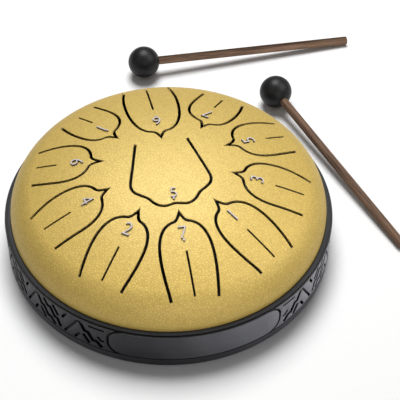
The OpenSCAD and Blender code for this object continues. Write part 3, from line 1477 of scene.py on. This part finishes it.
    def lay(self, piece: bpy.types.Object, share: float, bearing: float) -> None:
        """Lays a flat piece on the dome and stores how high each corner stands above it.

        Args:
            piece: The piece.
            share: Its distance from the axis as a share of the body's radius.
            bearing: Its bearing from +X in radians.
        """
        where = Matrix.Rotation(bearing + math.pi / 2, 4, "Z")
        out = Vector((math.cos(bearing), math.sin(bearing), 0)) * (share * self.dome.body_r)
        Bench.place(piece, Matrix.Translation(out) @ where)
        rise = piece.data.attributes.new("rise", "FLOAT", "POINT")
        for index, vertex in enumerate(piece.data.vertices):
            rise.data[index].value = vertex.co.z
            vertex.co = self.dome.on_face(vertex.co.x, vertex.co.y, vertex.co.z)


# Widths and lines of the strokes of one zigzag, of those that hang between two zigzags and
# of those in the corners by the panel, in shares of a zigzag's length and the relief's height.
ZIGZAG_SHARES = [
    (2.9 * MM, [
        (-0.39, 0.0), (-0.29, 0.24), (-0.21, 0.24), (-0.12, 0.58), (-0.05, 0.58), (0.02, 0.92),
    ]),
    (1.6 * MM, [(0.0, 0.94), (0.09, 0.94), (0.4, 0.0)]),
    (2.6 * MM, [(-0.14, 0.0), (-0.02, 0.38)]),
    (1.8 * MM, [(0.05, 0.34), (0.17, 0.0)]),
]
HANGING_SHARES = [
    (2.9 * MM, [
        (0.37, 1.0), (0.28, 0.76), (0.2, 0.76), (0.12, 0.42), (0.05, 0.42), (-0.02, 0.06),
    ]),
    (2.6 * MM, [(0.14, 1.0), (0.02, 0.6)]),
    (1.8 * MM, [(-0.18, 1.0), (-0.07, 0.66)]),
]
CORNER_SHARES = [
    (1.7 * MM, [(0.14, 0.92), (0.44, 0.92)]),
    (1.8 * MM, [(0.31, 0.52), (0.37, 0.36), (0.43, 0.36)]),
]


@dataclass(frozen=True)
class Ring:
    """The moulded ring: lips, grooves, a plain front panel and a band of zigzag relief."""

    dome: Dome
    bowl: Bowl
    outer_r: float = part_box("rim_ring")[1][0]
    top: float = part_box("rim_ring")[1][2]
    foot_w: float = 21.1 * MM
    fit: float = 0.15 * MM
    bead_w: float = 3 * MM
    bead_t: float = 0.9 * MM
    lip_round: float = 2.9 * MM
    toe_round: float = 1 * MM
    lip_h: float = 0.5 * MM
    toe_h: float = 5.6 * MM
    groove_w: float = 1 * MM
    groove_d: float = 1.4 * MM
    relief_margin: float = 1 * MM
    panel_half: float = math.radians(30)
    panel_corner_r: float = 9 * MM
    panel_groove_w: float = 1.5 * MM
    zigzags: int = 16
    sink: float = 0.3 * MM
    reach: float = 1 * MM
    body_edge: float = 0.12 * MM
    relief_edge: float = 0.2 * MM
    body_smooth: float = 40
    relief_smooth: float = 25
    merge_gap: float = 1e-6
    end_facing: float = 0.99
    steps: int = 192
    strips: int = 288
    toe_steps: int = 5
    round_steps: int = 8
    panel_steps: int = 10

    @property
    def band(self) -> Point:
        """Lowest and highest edge of the band between the two long grooves."""
        return self.toe_h + self.groove_w, self.top - self.lip_h - self.groove_w

    @property
    def relief(self) -> Point:
        """Lowest and highest edge of the relief."""
        return self.band[0] + self.relief_margin, self.band[1] - self.relief_margin

    @property
    def unit(self) -> float:
        """Length of one zigzag along the ring."""
        return (math.tau - 2 * self.panel_half) / self.zigzags * self.outer_r

    @property
    def floor_r(self) -> float:
        """Radius of the floor between the raised shapes."""
        return self.outer_r - self.groove_d

    @property
    def length(self) -> float:
        """Length of the ring's outside, all round."""
        return math.tau * self.outer_r

    def build(self) -> None:
        """Builds the ring's body, its panel and its relief, and dresses them."""
        material = RingRubber(ring=self).material()
        for piece in (self.body(), self.relief_band()):
            dress(piece, material)
            hand_over(piece, "drum", "ring_rubber", "rim_ring")

    def body(self) -> bpy.types.Object:
        """Turns the body with its lip, its toe and the sunken floor between.

        Returns:
            The body.
        """
        r, floor = self.outer_r, self.floor_r
        foot, wall = r - self.foot_w, self.dome.body_r + self.fit
        bead_r = self.dome.body_r + self.bead_t + self.fit
        bead_h = self.bead_w / 2 + self.fit
        bead_low, bead_high = self.dome.seam_z - bead_h, self.dome.seam_z + bead_h
        seat_r = self.bowl.shoulder_r + self.fit
        seat_angle = math.degrees(math.asin(self.bowl.shoulder_r / seat_r))
        lip = (r - self.lip_round, self.top - self.lip_round)
        lip_angle = math.degrees(math.asin(1 - self.lip_h / self.lip_round))
        toe = (r - self.toe_round, self.toe_round)
        section = [(foot, 0.0)]
        section += arc(toe, self.toe_round, -90, 0, self.toe_steps)
        section += [(r, self.toe_h), (floor, self.toe_h), (floor, self.top - self.lip_h)]
        section += arc(lip, self.lip_round, lip_angle, 90, self.round_steps)
        section += [(wall, self.top), (wall, bead_high), (bead_r, bead_high)]
        section += [(bead_r, bead_low), (wall, bead_low)]
        section += arc(self.bowl.corner, seat_r, 0, -seat_angle, self.round_steps)
        section += [(foot, self.bowl.base_z)]
        ring = Bench.lathe("ring_body", section, self.steps)
        Bench.bevel(ring, self.body_edge)
        Bench.smooth(ring, self.body_smooth)
        return ring

    def plate(self) -> bpy.types.Object:
        """Makes a flat plate as long as the ring is round, in strips narrow enough to bend.

        Returns:
            The plate.
        """
        low, high = self.band
        grid = bpy.ops.mesh.primitive_grid_add
        plate = Bench.add(
            "ring_relief", grid, x_subdivisions=self.strips, y_subdivisions=1, size=1
        )
        for vertex in plate.data.vertices:
            x, y, _ = vertex.co
            vertex.co = ((x + 0.5) * self.length, low + (y + 0.5) * (high - low), -self.sink)
        Bench.edit(plate)
        Bench.extrude(self.groove_d + self.sink)
        Bench.done()
        Bench.clean(plate)
        return plate

    def stroke(self, line: Sequence[Point], width: float) -> bpy.types.Object:
        """Makes a cutter along a line on the flat plate.

        Args:
            line: The line.
            width: The stroke's width.

        Returns:
            The cutter.
        """
        outline = [(x, z, -self.reach) for x, z in ribbon(line, width / 2)]
        cutter = Bench.loop("stroke", outline, True)
        Bench.edit(cutter)
        Bench.extrude(self.groove_d + 2 * self.reach)
        Bench.done()
        Bench.clean(cutter)
        return cutter

    def panel_end(self, lean: int) -> bpy.types.Object:
        """Makes the cutter of the groove round one end of the plain panel.

        Args:
            lean: 1 for the right end, -1 for the left one.

        Returns:
            The cutter.
        """
        low, high = self.band[0] - self.groove_w / 2, self.band[1] + self.groove_w / 2
        r = self.panel_corner_r
        line = arc((-r, low + r), r, -90, 0, self.panel_steps)
        line += arc((-r, high - r), r, 0, 90, self.panel_steps)
        middle = self.panel_half * self.outer_r
        place = middle if lean > 0 else self.length - middle
        return self.stroke([(place + lean * x, z) for x, z in line], self.panel_groove_w)

    def strokes(self, shapes: Sequence[tuple[float, Outline]], lean: int) -> bpy.types.Object:
        """Makes the cutters of one tile.

        Args:
            shapes: Widths and lines, in shares of a zigzag's length and the relief's height.
            lean: 1 as drawn, -1 mirrored.

        Returns:
            The cutters, joined.
        """
        low, high = self.relief
        pieces = []
        for width, shares in shapes:
            line = [(lean * along * self.unit, low + up * (high - low)) for along, up in shares]
            pieces.append(self.stroke(line, width))
        return Bench.join("tile", pieces)

    def cutters(self) -> bpy.types.Object:
        """Makes all the strokes that cut the relief and the panel out of the plate.

        Returns:
            The strokes, joined.
        """
        last, half = self.zigzags, self.zigzags // 2
        pieces = [self.panel_end(1), self.panel_end(-1)]
        for lean, shapes, places in (
            (1, ZIGZAG_SHARES, range(half)),
            (1, HANGING_SHARES, [index - 0.5 for index in range(1, half + 1)]),
            (-1, ZIGZAG_SHARES, range(half, last)),
            (-1, HANGING_SHARES, [index - 0.5 for index in range(half + 1, last)]),
            (-1, CORNER_SHARES, [0]),
            (1, CORNER_SHARES, [last - 1]),
        ):
            pieces += self.tiles(shapes, lean, places)
        return Bench.join("strokes", pieces)

    def tiles(
        self, shapes: Sequence[tuple[float, Outline]], lean: int, places: Sequence[float]
    ) -> list[bpy.types.Object]:
        """Makes copies of one tile along the plate.

        Args:
            shapes: The tile's strokes.
            lean: 1 as drawn, -1 mirrored.
            places: Where each copy stands, counted in zigzags from the panel.

        Returns:
            The copies.
        """
        start = self.panel_half * self.outer_r + self.unit / 2
        tile = self.strokes(shapes, lean)
        copies = [self.copied(tile, start + place * self.unit) for place in places]
        Bench.delete(tile)
        return copies

    @staticmethod
    def copied(piece: bpy.types.Object, along: float) -> bpy.types.Object:
        """Copies a piece, with a mesh of its own.

        Args:
            piece: The piece.
            along: How far the copy is moved along the plate.

        Returns:
            The copy.
        """
        Bench.pick(piece)
        bpy.ops.object.duplicate()
        copy = bpy.context.object
        Bench.place(copy, Matrix.Translation((along, 0, 0)))
        return copy

    def relief_band(self) -> bpy.types.Object:
        """Cuts the panel and the relief out of the plate and bends it round the ring.

        Returns:
            The bent band.
        """
        plate = self.plate()
        Bench.cut(plate, self.cutters())
        self.open_ends(plate)
        for vertex in plate.data.vertices:
            along, up, out = vertex.co
            turn = along / self.outer_r - math.pi / 2
            radius = self.floor_r + out
            vertex.co = (radius * math.cos(turn), radius * math.sin(turn), up)
        Bench.clean(plate, self.merge_gap)
        Bench.bevel(plate, self.relief_edge)
        Bench.smooth(plate, self.relief_smooth)
        return plate

    def open_ends(self, plate: bpy.types.Object) -> None:
        """Takes off the end faces of the flat plate, which meet when it is bent.

        Args:
            plate: The plate.
        """
        mesh = Bench.pick(plate).data
        for item in (*mesh.vertices, *mesh.edges):
            item.select = False
        for face in mesh.polygons:
            inside = self.reach < face.center.x < self.length - self.reach
            face.select = abs(face.normal.x) > self.end_facing and not inside
        bpy.ops.object.mode_set(mode="EDIT")
        bpy.ops.mesh.select_mode(type="FACE")
        bpy.ops.mesh.delete(type="FACE")
        bpy.ops.mesh.select_mode(type="VERT")
        Bench.done()


@dataclass(frozen=True)
class Mallet:
    """A mallet that lies on the table: a rubber ball on a wooden stick.

    Attributes:
        letter: Which mallet it is.
        gap: Distance of its line from the ring.
        start: Distance of its ball along the line.
        bearing: Bearing of the line from +X, in degrees.
    """

    letter: str
    gap: float
    start: float
    bearing: float
    ring_r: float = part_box("rim_ring")[1][0]
    head_r: float = 11.6 * MM
    stick_r: float = 3.05 * MM
    length: float = 170 * MM
    seat: float = 5 * MM
    fit: float = 0.05 * MM
    mouth_r: float = 0.5 * MM
    mouth_share: float = 0.3
    mouth_h: tuple[float, float] = (0.1 * MM, 0.2 * MM)
    chamfer: float = 0.5 * MM
    seam_r: float = 0.22 * MM
    seam_h: float = 0.06 * MM
    seam_turn: float = math.radians(35)
    ball_smooth: float = 35
    stick_rings: int = 12
    stick_steps: int = 40
    end_steps: int = 4
    ball_rings: int = 40
    ball_steps: int = 64
    seam_steps: tuple[int, int] = (96, 8)

    @property
    def reach(self) -> float:
        """Distance from the ball's centre to the stick's end."""
        return self.length - self.head_r

    def where(self) -> Matrix:
        """Finds the mallet's place, from its own axis along Z to the table.

        Returns:
            Its place.
        """
        tilt = math.asin((self.head_r - self.stick_r) / self.reach)
        turn = Matrix.Rotation(math.radians(self.bearing), 4, "Z")
        shift = Matrix.Translation((self.ring_r + self.gap, -self.start, self.head_r))
        return turn @ shift @ Matrix.Rotation(math.pi / 2 + tilt, 4, "X")

    def build(self, wood: bpy.types.Material, rubber: bpy.types.Material) -> None:
        """Builds the stick and the ball and fixes them to their body.

        Args:
            wood: The stick's material.
            rubber: The ball's material.
        """
        body = f"mallet_{self.letter}"
        stick, ball = self.stick(), self.ball()
        dress(stick, wood)
        dress(ball, rubber)
        hand_over(stick, body, "stick_wood", f"mallet_stick_{self.letter}")
        hand_over(ball, body, "head_rubber", f"mallet_head_{self.letter}")

    def stick(self) -> bpy.types.Object:
        """Makes the stick, with softened ends and its own coordinates stored for the grain.

        Returns:
            The stick.
        """
        r, c, rings = self.stick_r, self.chamfer, self.stick_rings
        section = [(0.0, -self.seat), (r - c, -self.seat), (r, c - self.seat)]
        section += [(r, (self.reach - c) * step / rings) for step in range(1, rings)]
        section += arc((r - c, self.reach - c), c, 0, 90, self.end_steps) + [(0.0, self.reach)]
        stick = Bench.lathe(f"stick_{self.letter}", section, self.stick_steps)
        Bench.smooth(stick)
        grain = stick.data.attributes.new("grain", "FLOAT_VECTOR", "POINT")
        for index, vertex in enumerate(stick.data.vertices):
            grain.data[index].vector = vertex.co
        Bench.place(stick, self.where())
        return stick

    def ball(self) -> bpy.types.Object:
        """Makes the ball, with a rounded mouth round the stick and a fine mould seam.

        Returns:
            The ball.
        """
        bore, bottom = self.stick_r + self.fit, -self.seat - self.fit
        brim = math.degrees(math.acos((bore + self.mouth_r) / self.head_r))
        section = arc((0.0, 0.0), self.head_r - self.seam_h, -90, brim, self.ball_rings)
        brim_z = section[-1][1]
        rise, fall = self.mouth_h
        section += [(bore + self.mouth_r * self.mouth_share, brim_z + rise), (bore, brim_z - fall)]
        section += [(bore, bottom), (0.0, bottom)]
        ball = Bench.lathe(f"ball_{self.letter}", section, self.ball_steps)
        ball = Bench.join(ball.name, [ball, self.seam(brim_z)])
        Bench.smooth(ball, self.ball_smooth)
        Bench.place(ball, self.where())
        return ball

    def seam(self, end: float) -> bpy.types.Object:
        """Makes the fine seam that the mould leaves round the ball.

        Args:
            end: Height over the ball's centre at which it ends.

        Returns:
            The seam.
        """
        seam = Bench.add(
            "seam", bpy.ops.mesh.primitive_torus_add,
            major_radius=self.head_r - self.seam_r, minor_radius=self.seam_r,
            major_segments=self.seam_steps[0], minor_segments=self.seam_steps[1],
            rotation=(math.pi / 2, 0, self.seam_turn),
        )
        Bench.place(seam, seam.matrix_world.copy())
        Bench.edit(seam)
        bpy.ops.mesh.bisect(
            plane_co=(0, 0, end), plane_no=(0, 0, 1), clear_outer=True, use_fill=True
        )
        Bench.done()
        return seam


MALLETS = [
    Mallet("a", gap=55.2 * MM, start=16.5 * MM, bearing=92.6),
    Mallet("b", gap=22.9 * MM, start=-75.1 * MM, bearing=18.3),
]


@dataclass(frozen=True)
class Lamp:
    """A round soft lamp that faces the drum.

    Attributes:
        name: Its name.
        place: Where it stands.
        size: Its diameter.
        power: Its power in watts.
        reach: Whether it is kept off some pieces or to them alone.
        pieces: The names of these pieces.
        through: Whether its light passes whatever else stands before them.
    """

    name: str
    place: tuple[float, float, float]
    size: float
    power: float
    reach: Reach
    pieces: tuple[str, ...]
    through: bool = False

    def hang(self) -> None:
        """Adds the lamp and links it to its pieces."""
        lamp = Bench.add(
            f"light_{self.name}", bpy.ops.object.light_add, type="AREA", location=self.place
        )
        lamp.data.shape = "DISK"
        lamp.data.size = self.size
        lamp.data.energy = self.power
        lamp.rotation_euler = (-Vector(self.place)).to_track_quat("-Z", "Y").to_euler()
        group = bpy.data.collections.new(f"{lamp.name}_{self.reach.value.lower()}")
        for name in self.pieces:
            group.objects.link(bpy.data.objects[name])
        for item in group.collection_objects:
            item.light_linking.link_state = self.reach.value
        lamp.light_linking.receiver_collection = group
        if self.through:
            lamp.light_linking.blocker_collection = group


RING = ("ring_body", "ring_relief")
FILLED = ("table", *RING)
# The key stands overhead and behind and is kept off the far stick, which has a lamp of its own
# in front. The fills are kept off the table and the ring. The last three are for the ring alone.
LAMPS = [
    Lamp("key", (0.12, 0.88, 1.8), 1.15, 41, Reach.OFF, ("stick_a",)),
    Lamp("stick", (0.1, -1.5, 0.15), 0.8, 17, Reach.ONLY, ("stick_a",), through=True),
    Lamp("front", (0.0, -1.6, 0.45), 1.8, 15.5, Reach.OFF, FILLED),
    Lamp("left", (-1.1, -0.5, 1.2), 1.4, 3, Reach.OFF, FILLED),
    Lamp("right", (1.1, -0.2, 1.2), 1.4, 15, Reach.OFF, FILLED),
    Lamp("band_right", (1.35, -0.45, 0.2), 0.7, 160, Reach.ONLY, ("ring_relief",)),
    Lamp("body_right", (1.35, -0.45, 0.2), 0.7, 40, Reach.ONLY, ("ring_body",)),
    Lamp("ring_left", (-1.4, 0.0, 0.3), 0.7, 20, Reach.ONLY, RING),
]


@dataclass(frozen=True)
class Studio:
    """The table, the lights and the camera at the photograph's angle."""

    frame_px: float = 400
    focal_px: float = 1205.07
    axis_x_px: float = 168.45
    axis_y_px: float = 203.48
    camera_at: tuple[float, float, float] = (-85.8 * MM, -517.5 * MM, 598.8 * MM)
    aim_z: float = 29.9 * MM
    roll: float = math.radians(-0.547)
    sensor_w: float = 36
    sight: float = 50
    table_size: float = 12.0
    table_greys: tuple[Colour, Colour] = ((0.93, 0.93, 0.93, 1), (0.96, 0.96, 0.96, 1))
    table_scale: float = 3
    table_matt: float = 0.6
    # A near-black painted shadow on the table under the drum, and where it fades out.
    painted_shadow: Colour = (0.01, 0.01, 0.01, 1)
    painted_shadow_edge: tuple[float, float] = (80 * MM, 84 * MM)
    horizon: float = 0.2
    zenith: float = 0.2

    def build(self) -> None:
        """Sets up the whole studio."""
        self.camera()
        self.world()
        self.table()
        for lamp in LAMPS:
            lamp.hang()

    def camera(self) -> None:
        """The camera, aimed at the middle of the drum where its dome begins."""
        camera = Bench.add("camera", bpy.ops.object.camera_add, location=self.camera_at)
        aim = Vector((0, 0, self.aim_z)) - Vector(self.camera_at)
        turn = aim.to_track_quat("-Z", "Y").to_matrix().to_4x4()
        roll = Matrix.Rotation(self.roll, 4, "Z")
        camera.matrix_world = Matrix.Translation(self.camera_at) @ (turn @ roll)
        lens = camera.data
        lens.sensor_width = self.sensor_w
        lens.lens = self.focal_px / self.frame_px * lens.sensor_width
        lens.shift_x = 0.5 - self.axis_x_px / self.frame_px
        lens.shift_y = self.axis_y_px / self.frame_px - 0.5
        lens.clip_end = self.sight
        bpy.context.scene.camera = camera

    def table(self) -> None:
        """A plain white table top running out of view, with painted shadow under the drum."""
        floor = Bench.add("table", bpy.ops.mesh.primitive_plane_add, size=self.table_size)
        sheet = Sheet("table_white")
        point = sheet.place()
        top = sheet.mix(*self.table_greys, sheet.noise(point, self.table_scale, 2))
        clear = sheet.between(sheet.across(point), *self.painted_shadow_edge)
        sheet.set(Base_Color=sheet.mix(self.painted_shadow, top, clear), Roughness=self.table_matt)
        dress(floor, sheet.material)

    def world(self) -> None:
        """Soft white light from all round, by its strength at the horizon and overhead."""
        scene = bpy.context.scene
        scene.world = bpy.data.worlds.new("studio")
        scene.world.use_nodes = True
        tree = scene.world.node_tree
        sky = tree.nodes["Background"]
        place = tree.nodes.new("ShaderNodeTexCoord")
        split = tree.nodes.new("ShaderNodeSeparateXYZ")
        ramp = tree.nodes.new("ShaderNodeMapRange")
        tree.links.new(place.outputs["Generated"], split.inputs["Vector"])
        tree.links.new(split.outputs["Z"], ramp.inputs["Value"])
        ramp.inputs["To Min"].default_value = self.horizon
        ramp.inputs["To Max"].default_value = self.zenith
        tree.links.new(ramp.outputs["Result"], sky.inputs["Strength"])
        sky.inputs["Color"].default_value = (1, 1, 1, 1)
        scene.view_settings.view_transform = "Standard"


def main() -> None:
    """Builds every sub-assembly and the studio, in order."""
    logging.basicConfig(level=logging.INFO, format="%(name)s: %(message)s")
    dome = Dome()
    bowl = Bowl(dome)
    Shells(dome, bowl, Slits(dome)).build()
    Ring(dome, bowl).build()
    wood, rubber = StainedWood().material(), MouldedRubber().material()
    for mallet in MALLETS:
        mallet.build(wood, rubber)
    Studio().build()


if __name__ == "__main__":
    main()
